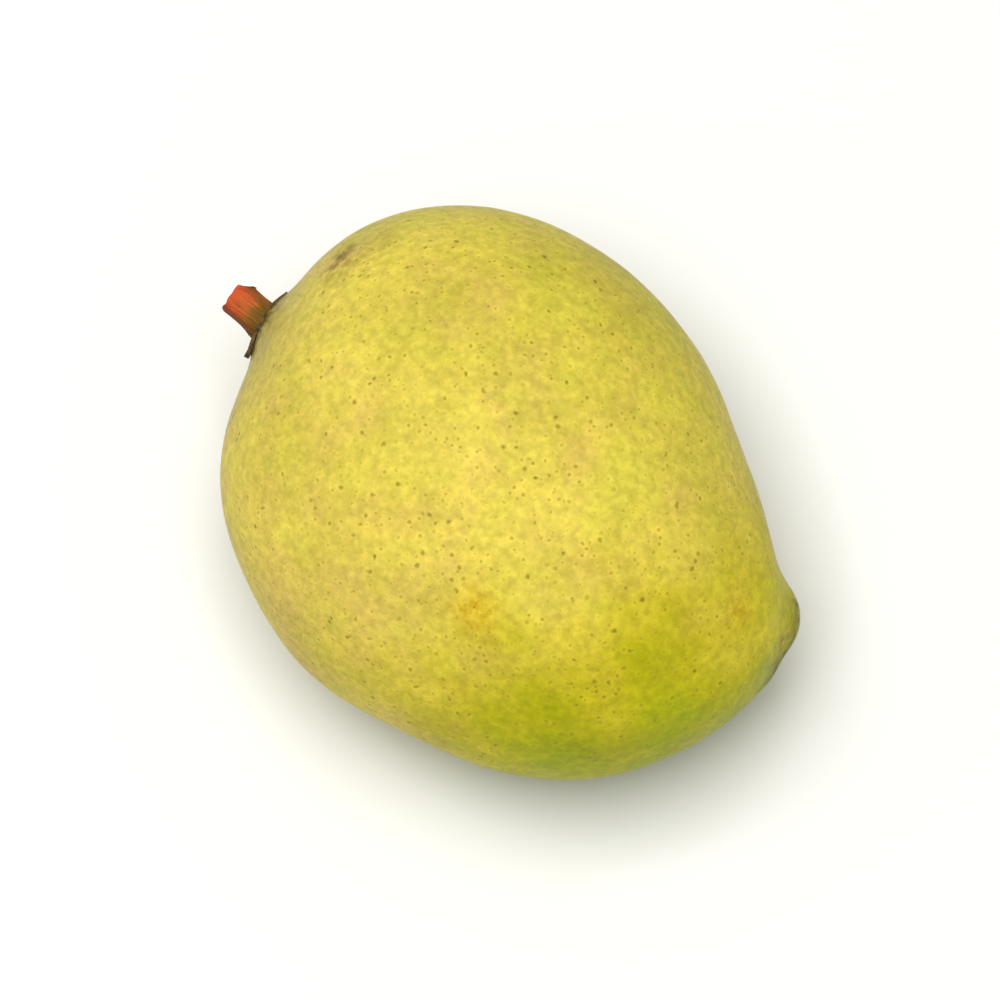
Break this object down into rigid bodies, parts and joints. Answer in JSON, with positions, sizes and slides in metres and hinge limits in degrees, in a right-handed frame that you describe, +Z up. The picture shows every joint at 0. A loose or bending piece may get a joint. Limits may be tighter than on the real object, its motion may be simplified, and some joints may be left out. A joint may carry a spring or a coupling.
{
  "type": "mango",
  "caption": "Whole green-ripe mango with a small beak beside its nose and a snapped stub of stalk, lying on its cheek.",
  "frame": {"origin": "centre of the part's bounding box in X and Y, on the plane that the fruit lies on", "axes": "+X towards the nose of the fruit, away from the stalk; +Y towards the belly edge, the side of the beak; +Z up, out of the upper cheek"},
  "size_m": [0.118, 0.0926, 0.0824],
  "materials": {
    "skin": "satin waxy fruit skin, green-yellow with fine dark pores",
    "stalk_wood": "snapped green wood, dried orange-red"
  },
  "bodies": {
    "root": {"fruit_body": "skin", "stem_stub": "stalk_wood"}
  },
  "joints": []
}
